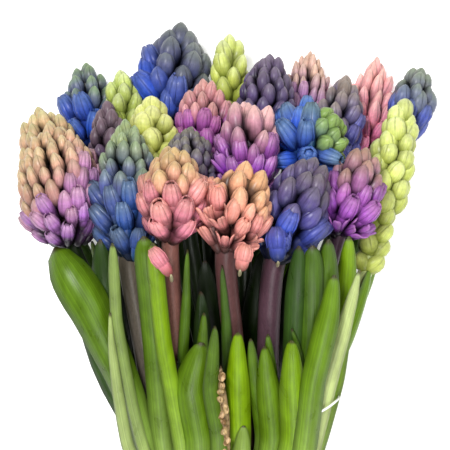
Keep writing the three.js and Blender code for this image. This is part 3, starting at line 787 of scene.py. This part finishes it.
def lone_floret(head, florets, end, foot, stalk_end, width):
    """A floret that has sunk below the rest, on its short pale stalk."""
    end, foot, stalk_end = place(*end), place(*foot), place(*stalk_end)
    along, down = end - foot, stalk_end - foot
    across = width * MM / FLORET_WIDTH
    floret = copy_floret(florets["bell"], (across, across, along.length),
                         facing(along, UP, foot), bud_colour(head, 0.15, 1.05, 0))
    pale = Vector(tint("#a8a07e"))
    thin = copy_floret(florets["plump"], (0.0036, 0.0036, down.length * 1.3),
                       facing(down, Vector((0, 1, 0)), foot - down * 0.2), lambda co: pale)
    return [floret, thin]


class Finish:
    """A material whose shader is wired node by node."""

    def __init__(self, name, roughness, flesh=0.0, shine=0.3):
        self.material = bpy.data.materials.new(name)
        self.material.use_nodes = True
        self.tree = self.material.node_tree
        self.shader = self.tree.nodes["Principled BSDF"]
        self.dress(**{"Roughness": roughness, "Specular IOR Level": shine})
        if flesh:
            self.dress(**{"Subsurface Weight": flesh, "Subsurface Radius": (1.0, 0.7, 0.5),
                          "Subsurface Scale": 0.002})

    def feed(self, socket, value):
        """Sets a socket, or wires it to another."""
        if isinstance(value, bpy.types.NodeSocket):
            self.tree.links.new(value, socket)
        else:
            socket.default_value = value

    def dress(self, **inputs):
        """Sets or wires inputs of the shader."""
        for key, value in inputs.items():
            self.feed(self.shader.inputs[key], value)

    def add(self, kind, output, inputs, **settings):
        """An output of a new node."""
        node = self.tree.nodes.new(f"ShaderNode{kind}")
        for key, value in settings.items():
            setattr(node, key, value)
        for key, value in inputs.items():
            self.feed(node.inputs[key], value)
        return node.outputs[output]

    def where(self):
        """The piece's own coordinates."""
        return self.add("TexCoord", "Object", {})

    def chart(self, name):
        """One of the piece's maps."""
        return self.add("UVMap", "UV", {}, uv_map=name)

    def stored(self, name, output="Color"):
        """What is stored at the piece's points."""
        return self.add("Attribute", output, {}, attribute_name=name)

    def part(self, vector, output):
        """One number of a vector."""
        return self.add("SeparateXYZ", output, {"Vector": vector})

    def stretched(self, vector, *scale):
        """Coordinates scaled along each axis."""
        return self.add("Mapping", "Vector", {"Vector": vector, "Scale": scale})

    def noise(self, vector, scale, detail=4.0):
        """A noise texture on a set of coordinates."""
        return self.add("TexNoise", "Fac", {"Vector": vector, "Scale": scale, "Detail": detail,
                                            "Roughness": 0.55})

    def math(self, operation, *values):
        """A sum on up to three numbers."""
        return self.add("Math", "Value", dict(enumerate(values)), operation=operation)

    def remap(self, value, low, high, to_low, to_high):
        """A value moved from one range to another."""
        return self.add("MapRange", "Result", {"Value": value, "From Min": low, "From Max": high,
                                               "To Min": to_low, "To Max": to_high})

    def tone(self, colour, *remapped):
        """A colour made lighter or darker by a remapped value."""
        return self.add("HueSaturation", "Color", {"Color": colour, "Value": self.remap(*remapped)})

    def mix(self, a, b, share):
        """One colour over another. Either may be a fixed colour."""
        a, b = (c if isinstance(c, bpy.types.NodeSocket) else (*c, 1) for c in (a, b))
        return self.add("Mix", "Result", {"A": a, "B": b, "Factor": share}, data_type="RGBA")

    def relief(self, height, strength, distance):
        """Fine relief on the surface."""
        self.dress(Normal=self.add("Bump", "Normal", {"Strength": strength, "Distance": distance,
                                                      "Height": height}))


def petal_finish():
    """Waxy petals: the colours stored on each bud, painted shade included, with seams and fine streaks along
    it and soft blotches.
    """
    made = Finish("waxy_petals", 0.36, 0.06, 0.32)
    chart = made.chart("petal_map")
    streaks = made.noise(made.stretched(chart, 46, 2.2, 1), 1)
    blotches = made.noise(made.where(), 420, 3)
    # Seams: three lines from the end of a floret towards its foot, that fade out before it.
    wave = made.math("PINGPONG", made.math("MULTIPLY_ADD", made.part(chart, "X"), 3, 0.5), 0.5)
    seams = made.math("MULTIPLY", made.remap(wave, 0.0, 0.06, 1.0, 0.0),
                      made.remap(made.part(chart, "Y"), 0.3, 0.6, 0.0, 1.0))
    colour = made.tone(made.stored("petal_colour"), streaks, 0.3, 0.7, 0.84, 1.14)
    colour = made.tone(colour, blotches, 0.3, 0.7, 0.88, 1.12)
    colour = made.tone(colour, seams, 0.0, 1.0, 1.0, 0.62)
    made.dress(**{"Base Color": colour, "Roughness": made.remap(blotches, 0.3, 0.7, 0.3, 0.46)})
    made.relief(made.remap(seams, 0.0, 1.0, 1.0, 0.0), 0.5, 0.0006)
    return made.material


def leaf_finish(name, colours):
    """Glossy leaves with veins from end to end, paler towards the foot and brown at the very tip, with
    painted shade towards their edges and on leaves set dark.
    """
    made = Finish(name, 0.34, 0.05, 0.36)
    chart, where, look = made.chart("UVMap"), made.where(), made.stored("leaf_look")
    across, along = made.part(chart, "X"), made.part(chart, "Y")
    dark, pale, dry = (made.add("SeparateColor", part, {"Color": look}) for part in ("Red", "Green", "Blue"))
    veins = made.noise(made.stretched(chart, 38, 0.6, 1), 1, 3)
    clouds = made.noise(made.stretched(where, 1, 0.3, 1), 110, 3)
    flakes = made.noise(made.stretched(where, 1, 0.45, 1), 420, 4)
    colour = made.mix(colours.leaf_light, colours.leaf_sunny, made.stored("leaf_look", "Alpha"))
    # Darker leaves: their own deeper green mixed with painted shade.
    colour = made.mix(colour, colours.leaf_dark, dark)
    colour = made.mix(colours.leaf_foot, colour, made.remap(along, 0.1, 0.58, 0.0, 1.0))
    colour = made.mix(colour, colours.leaf_pale, pale)
    # A darkness above 1 darkens a leaf further: painted shade.
    colour = made.tone(colour, dark, 1.0, 1.2, 1.0, 0.16)
    papery = made.mix(tint("#7a5634"), tint("#cfa97e"), made.remap(flakes, 0.4, 0.56, 0.0, 1.0))
    colour = made.mix(colour, papery, dry)
    colour = made.tone(colour, veins, 0.3, 0.7, 0.68, 1.26)
    colour = made.tone(colour, clouds, 0.3, 0.7, 0.76, 1.2)
    # Painted shade towards both edges of a leaf.
    colour = made.tone(colour, made.math("PINGPONG", across, 0.5), 0.0, 0.2, 0.5, 1.06)
    colour = made.mix(colour, tint("#2e1c10"), made.remap(along, 0.975, 0.99, 0.0, 0.85))
    made.dress(**{"Base Color": colour, "Roughness": made.remap(clouds, 0.3, 0.7, 0.26, 0.42)})
    made.relief(veins, 0.6, 0.0004)
    return made.material


def stalk_finish(name, top, low):
    """Smooth fleshy stalks with faint streaks and freckles, whose colour shifts towards the cut end."""
    made = Finish(name, 0.38, 0.06)
    where = made.where()
    height = made.remap(made.part(where, "Y"), ORIGIN.y - 0.06, ORIGIN.y + 0.1, 0.0, 1.0)
    streaks = made.noise(made.stretched(where, 1, 0.05, 1), 900, 3)
    freckles = made.noise(where, 1400, 2)
    colour = made.tone(made.mix(low, top, height), streaks, 0.3, 0.7, 0.8, 1.2)
    colour = made.tone(colour, freckles, 0.35, 0.65, 0.9, 1.1)
    made.dress(**{"Base Color": colour, "Roughness": made.remap(freckles, 0.3, 0.7, 0.32, 0.46)})
    made.relief(streaks, 0.2, 0.0003)
    return made.material


def elastic_finish(colour):
    """Matt stretched elastic with a fine rib."""
    made = Finish("white_elastic", 0.62)
    where = made.where()
    ribs = made.add("TexWave", "Fac", {"Vector": where, "Scale": 260, "Distortion": 0.6}, bands_direction="Y")
    grime = made.remap(made.noise(where, 160, 3), 0.45, 0.75, 0.0, 0.5)
    made.dress(**{"Base Color": made.mix(colour, Vector(colour) * 0.8, grime)})
    made.relief(ribs, 0.5, 0.0003)
    return made.material


class HYACINTH_OT_blooms(bpy.types.Operator):
    """Dress every flower head with its florets"""

    bl_idname = "hyacinth.blooms"
    bl_label = "Flower heads"

    def execute(self, context):
        sizes = context.scene.hyacinth_sizes
        florets = model_florets()
        material = petal_finish()
        for number, (name, head) in enumerate(context.scene.hyacinth_heads.items()):
            bloom = dress_head(name, head, sizes, florets, random.Random(sizes.seed * 100 + number))
            finish_piece(bloom, material, f"petals_{name}", f"head_{name}")
        for floret in florets.values():
            bpy.data.objects.remove(floret)
        return {"FINISHED"}


def stalk_curve(name):
    """Points from where the tie lets go of a stalk to the foot of its head."""
    facts = HEADS[name]
    column, row = facts["cell"]
    held = Vector((column * CELL, HELD_TO, FRONT_STEM_Z - row * CELL))
    foot, tip = Vector(facts["foot"]), Vector(facts["tip"])
    axis = (tip - foot).normalized()
    top = foot - axis * GAP
    reach = STEM_CURVES * (top - held).length
    return held, held + Vector((0, reach, 0)), top - axis * reach * NECK_SHARE, top


def on_curve(points, share):
    """A point on a curve of four points."""
    a, b, c, d = points
    rest = 1 - share
    return a * rest ** 3 + b * 3 * rest ** 2 * share + c * 3 * rest * share ** 2 + d * share ** 3


def start_path(add, kind, count):
    """A path with one spline of its own, and the spline."""
    path = new_piece(add, "path")
    path.data.splines.clear()
    spline = path.data.splines.new(kind)
    (spline.points if kind == "POLY" else spline.bezier_points).add(count - 1)
    return path, spline


def end_path(path, name, depth, fineness):
    """Gives a path a round section and makes it a mesh."""
    path.data.bevel_depth = depth
    path.data.bevel_resolution = fineness
    bpy.ops.object.convert(target="MESH")
    piece = bpy.context.active_object
    piece.name = piece.data.name = name
    return piece


STALK_STEPS = 24


def model_stalk(name):
    """A round stalk: a path with a bevel, made a mesh."""
    curve = stalk_curve(name)
    radius = STALK_FINISH[name][3] if name in STALK_FINISH else HIDDEN_STALK
    foot, tip = Vector(HEADS[name]["foot"]), Vector(HEADS[name]["tip"])
    cut = curve[0].copy()
    cut.y = CUT_Y
    stations = [(cut, STEM_FOOT), (cut.lerp(curve[0], 0.5), STEM_FOOT)]
    for step in range(STALK_STEPS + 1):
        share = step / STALK_STEPS
        half = radius + (STEM_FOOT - radius) * max(0, 1 - 2 * share)
        stations.append((on_curve(curve, share), half))
    stations.append((foot.lerp(tip, 0.2), radius * 0.8))
    path, spline = start_path(bpy.ops.curve.primitive_nurbs_path_add, "POLY", len(stations))
    for point, (middle, half) in zip(spline.points, stations):
        point.co = (*place(*middle), 1)
        point.radius = half * MM
    path.data.use_fill_caps = True
    path.data.dimensions = "3D"
    stalk = end_path(path, f"stalk_{name}", 1, 5)
    bpy.ops.object.shade_smooth_by_angle(angle=math.radians(50))
    return stalk


class HYACINTH_OT_stalks(bpy.types.Operator):
    """Model the stalks"""

    bl_idname = "hyacinth.stalks"
    bl_label = "Stalks"

    def execute(self, context):
        green = Vector(context.scene.hyacinth_colours.green_stalk)
        # Green stalks inside the bunch are darkened far below their own colour: painted shade.
        shaded_inner = stalk_finish("shaded_inner_stalk", green * 0.1, green * 0.2)
        outer = stalk_finish("green_stalk", green * 0.8, green)
        for name, facts in HEADS.items():
            if name in STALK_FINISH:
                slot, top, low, _ = STALK_FINISH[name]
                material = stalk_finish(f"{slot}_{name}", tint(top), tint(low))
            else:
                slot, material = "stem_green", shaded_inner if facts["cell"][1] < 2 else outer
            finish_piece(model_stalk(name), material, slot, f"stem_{name}")
        return {"FINISHED"}


def path_point(points, share):
    """A point on a smooth line through points, and the way it runs there."""
    spans = [(b - a).length for a, b in zip(points, points[1:])]
    along, index = share * sum(spans), 0
    while index < len(spans) - 1 and along > spans[index]:
        along -= spans[index]
        index += 1
    t = along / spans[index]
    a = points[index - 1] if index else points[0] * 2 - points[1]
    b, c = points[index], points[index + 1]
    d = points[index + 2] if index + 2 < len(points) else points[-1] * 2 - points[-2]
    first = (c - a) * 0.5 * (spans[index] / ((c - a).length + 1e-9))
    last = (d - b) * 0.5 * (spans[index] / ((d - b).length + 1e-9))
    here = (b * (2 * t ** 3 - 3 * t ** 2 + 1) + first * (t ** 3 - 2 * t ** 2 + t)
            + c * (3 * t ** 2 - 2 * t ** 3) + last * (t ** 3 - t ** 2))
    runs = (b * (6 * t ** 2 - 6 * t) + first * (3 * t ** 2 - 4 * t + 1)
            + c * (6 * t - 6 * t ** 2) + last * (3 * t ** 2 - 2 * t))
    return here, runs.normalized()


LEAF_COLUMNS = 8


def model_leaf(name, points, facts, sizes, draw):
    """A strap leaf: a grid laid along a line, arched, rounded and hooded at its tip, with a thickness."""
    facts = {**LEAF_FACTS, **facts}
    width, slim, tapers = facts["width"], facts["slim"], facts["tapers"]
    out = Vector(facts["out"]).normalized()
    leaf = new_piece(bpy.ops.mesh.primitive_grid_add, name, x_subdivisions=LEAF_COLUMNS,
                     y_subdivisions=sizes.leaf_rows, size=1)
    waves = draw.uniform(0, 6)
    keel = draw.uniform(0.02, 0.06)
    for vertex in leaf.data.vertices:
        column, share = vertex.co.x * 2, (vertex.co.y + 0.5) ** 0.8
        middle, ahead = path_point(points, share)
        across = ahead.cross(out).normalized()
        back = across.cross(ahead).normalized()
        grown = slim + (1 - slim) * min(1, share / facts["full"])
        ending = max(0.0, (share - tapers) / (1 - tapers))
        slimmer = 1 - facts["narrows"] * share
        half = 0.5 * width * max(0.05, grown * slimmer * max(0, 1 - ending ** 1.9) ** facts["blunt"])
        bulge = 0.6 * half * (1 - column * column) + keel * half * (1 - abs(column))
        hood = -0.1 * width * ending ** 3
        wave = 0.35 * math.sin(11 * share + waves) * column * abs(column) * smooth(0, 0.3, share)
        vertex.co = place(*(middle + across * column * half + back * (bulge + hood + wave)))
    sunny = draw.uniform(0, 0.35)
    look = (facts["dark"], facts["pale"], facts["dry"], facts.get("sunny", sunny))
    store_colours(leaf.data, "leaf_look", [look] * len(leaf.data.vertices))
    apply(leaf, "SOLIDIFY", thickness=sizes.leaf_thickness, offset=0)
    edit(leaf)
    leave_edit()
    bpy.ops.object.shade_smooth_by_angle(angle=math.radians(60))
    return lift(leaf)


def model_crumbs(points, draw):
    """Dry papery bits, heaped one over another along a withered strip."""
    source = new_piece(bpy.ops.mesh.primitive_ico_sphere_add, "crumb", subdivisions=2, radius=1)
    edit(source)
    pick(source, lambda co: co.x * co.y > 0.1)
    resize(0.7, 0.9, 1.1)
    bpy.ops.object.mode_set(mode="OBJECT")
    crumbs = []
    for number in range(CRUMBS):
        middle, _ = path_point(points, 0.36 + 0.63 * number / CRUMBS)
        crumb = copy_piece(source)
        look = (0.2, 0, draw.uniform(0.8, 1), 0)
        store_colours(crumb.data, "leaf_look", [look] * len(crumb.data.vertices))
        spot = place(*(middle + Vector((draw.uniform(-1.5, 1.5), 0, draw.uniform(2.4, 3.6)))))
        along = Vector((draw.uniform(-0.8, 0.8), draw.uniform(0.2, 1), draw.uniform(-0.2, 0.6)))
        size = [draw.uniform(low, high) * MM for low, high in ((2.2, 3), (1.6, 2.4), (2.6, 4))]
        crumb.data.transform(facing(along, Vector((1, 0, 0.3)), spot) @ Matrix.Diagonal((*size, 1)))
        crumbs.append(crumb)
    bpy.data.objects.remove(source)
    return crumbs


class HYACINTH_OT_stalk_leaves(bpy.types.Operator):
    """Model the leaves that part from the stalks behind the front"""

    bl_idname = "hyacinth.stalk_leaves"
    bl_label = "Leaves on the stalks"

    def execute(self, context):
        sizes = context.scene.hyacinth_sizes
        material = leaf_finish("shaded_leaf", context.scene.hyacinth_colours)
        draw = random.Random(sizes.seed)
        for name, (tip, out) in STALK_LEAVES.items():
            curve = stalk_curve(name)
            end, away = Vector(tip), Vector(out).normalized()
            parting = on_curve(curve, 0.3) + away * 3
            points = [on_curve(curve, 0.04), parting, parting.lerp(end, 0.5) + away * 3, end]
            # Leaves inside the bunch are set darker than 1: painted shade.
            inside = HEADS[name]["cell"][1] < 3 and out[2] > 0.5
            facts = dict(width=16, out=out, full=0.7, dark=1.2 if inside else draw.uniform(0.05, 0.4))
            leaf = model_leaf(f"leaf_{name}", points, facts, sizes, draw)
            finish_piece(leaf, material, "leaf", f"stem_{name}")
        return {"FINISHED"}


class HYACINTH_OT_front_leaves(bpy.types.Operator):
    """Model the clumps of leaves in front"""

    bl_idname = "hyacinth.front_leaves"
    bl_label = "Front leaves"

    def execute(self, context):
        sizes = context.scene.hyacinth_sizes
        material = leaf_finish("glossy_leaf", context.scene.hyacinth_colours)
        draw = random.Random(sizes.seed + 1)
        foot_z = FRONT_STEM_Z + STEM_FOOT + GAP + CLUMP_HALF
        for index, (name, leaves) in enumerate(CLUMPS.items()):
            foot_x = (index - (len(CLUMPS) - 1) / 2) * CLUMP_PITCH
            made = []
            for facts in leaves:
                placed = [Vector((x, y, bundle_front(x, y) + facts["over"])) for x, y in facts["line"]]
                beside = placed[0].copy()
                beside.y = CUT_Y
                line = [Vector((foot_x, CUT_Y, foot_z)).lerp(beside, 0.1), *placed]
                made.append(model_leaf("blade", line, facts, sizes, draw))
                if facts.get("dry"):
                    made.extend(model_crumbs(line, random.Random(sizes.seed + 2)))
            finish_piece(join(made, f"clump_{name}"), material, "leaf", f"leaves_{name}")
        return {"FINISHED"}


def model_loop(name):
    """A thin round loop: a closed path with a bevel, made a mesh."""
    path, spline = start_path(bpy.ops.curve.primitive_nurbs_circle_add, "BEZIER", len(WHITE_LOOP))
    for point, spot in zip(spline.bezier_points, WHITE_LOOP):
        point.co = place(*spot)
        point.handle_left_type = point.handle_right_type = "AUTO"
    spline.use_cyclic_u = True
    loop = end_path(path, name, 0.0008, 3)
    bpy.ops.object.shade_smooth()
    return loop


class HYACINTH_OT_ties(bpy.types.Operator):
    """Round off the elastic ties"""

    bl_idname = "hyacinth.ties"
    bl_label = "Elastic ties"

    def execute(self, context):
        material = elastic_finish(tuple(context.scene.hyacinth_colours.elastic))
        finish_piece(model_loop("band_tie_white"), material, "elastic", "tie_white")
        band = copy_piece(NODES["tie_foot"])
        for key in list(band.keys()):
            del band[key]
        band.parent = None
        band.name = band.data.name = "band_tie_foot"
        edit(band)
        bpy.ops.mesh.remove_doubles(threshold=0.00001)
        bpy.ops.mesh.dissolve_limited(angle_limit=math.radians(1))
        bpy.ops.object.mode_set(mode="OBJECT")
        apply(band, "BEVEL", width=0.0004, segments=3, limit_method="ANGLE")
        bpy.ops.object.shade_smooth_by_angle(angle=math.radians(40))
        finish_piece(band, material, "elastic", "tie_foot")
        return {"FINISHED"}


# Soft lamps: their place, their size and their power.
LAMPS = {
    "key": ((-0.4, 0.6, 1.6), 0.35, 24),
    "fill": ((0.75, 0.1, 1.3), 0.8, 7),
    "low": ((0.05, -0.95, 1.1), 0.7, 9),
}
LIT_SPOT = (0, 120, 70)
FLOOR_GLOW = 0.36
SKY = 0.25


class HYACINTH_OT_stage(bpy.types.Operator):
    """Set the floor, the lights and the camera"""

    bl_idname = "hyacinth.stage"
    bl_label = "Stage"

    def execute(self, context):
        unselect()
        bpy.ops.mesh.primitive_plane_add(size=6, location=(0, 0, -0.0002))
        floor = context.active_object
        floor.name = "floor"
        made = Finish("pale_floor", 0.8)
        made.dress(**{"Base Color": (*context.scene.hyacinth_colours.floor, 1),
                      "Emission Color": (1, 1, 1, 1), "Emission Strength": FLOOR_GLOW})
        floor.data.materials.append(made.material)
        for name, (spot, size, power) in LAMPS.items():
            bpy.ops.object.light_add(type="AREA", location=ORIGIN + Vector(spot))
            lamp = context.active_object
            lamp.name = name
            lamp.data.size = size
            lamp.data.energy = power
            aim = place(*LIT_SPOT) - lamp.location
            lamp.rotation_euler = aim.to_track_quat("-Z", "Y").to_euler()
        world = bpy.data.worlds.new("studio")
        world.use_nodes = True
        sky = world.node_tree.nodes["Background"]
        sky.inputs["Color"].default_value = (1, 1, 1, 1)
        sky.inputs["Strength"].default_value = SKY
        context.scene.world = world
        context.scene.view_settings.view_transform = "Standard"
        bpy.ops.object.camera_add(location=place(0, CAMERA_Y, CAMERA_HEIGHT), rotation=(0, 0, 0))
        camera = context.active_object
        camera.data.angle = CAMERA_ANGLE
        camera.data.clip_start = 0.05
        context.scene.camera = camera
        return {"FINISHED"}


class HYACINTH_PT_steps(bpy.types.Panel):
    """The steps that build the bunch"""

    bl_idname = "HYACINTH_PT_steps"
    bl_label = "Tied hyacinths"
    bl_space_type = "VIEW_3D"
    bl_region_type = "UI"
    bl_category = "Hyacinths"

    def draw(self, context):
        for group in (context.scene.hyacinth_sizes, context.scene.hyacinth_colours):
            for name in group.__annotations__:
                self.layout.prop(group, name)
        for step in STEPS:
            self.layout.operator(step.bl_idname)


STEPS = (
    HYACINTH_OT_blooms,
    HYACINTH_OT_stalks,
    HYACINTH_OT_stalk_leaves,
    HYACINTH_OT_front_leaves,
    HYACINTH_OT_ties,
    HYACINTH_OT_stage,
)
CLASSES = (HyacinthHead, HyacinthSizes, HyacinthColours, *STEPS, HYACINTH_PT_steps)


def register():
    for item in CLASSES:
        bpy.utils.register_class(item)
    bpy.types.Scene.hyacinth_heads = CollectionProperty(type=HyacinthHead)
    bpy.types.Scene.hyacinth_sizes = PointerProperty(type=HyacinthSizes)
    bpy.types.Scene.hyacinth_colours = PointerProperty(type=HyacinthColours)


def unregister():
    del bpy.types.Scene.hyacinth_colours
    del bpy.types.Scene.hyacinth_sizes
    del bpy.types.Scene.hyacinth_heads
    for item in reversed(CLASSES):
        bpy.utils.unregister_class(item)


def main():
    register()
    for name, facts in HEADS.items():
        head = bpy.context.scene.hyacinth_heads.add()
        head.name = name
        for key in HyacinthHead.__annotations__:
            if key in facts:
                setattr(head, key, facts[key])
        for key, code in zip(HEAD_COLOURS, facts["colours"].split()):
            setattr(head, key, tint(code))
    bpy.ops.hyacinth.blooms()
    bpy.ops.hyacinth.stalks()
    bpy.ops.hyacinth.stalk_leaves()
    bpy.ops.hyacinth.front_leaves()
    bpy.ops.hyacinth.ties()
    bpy.ops.hyacinth.stage()


if __name__ == "__main__":
    main()
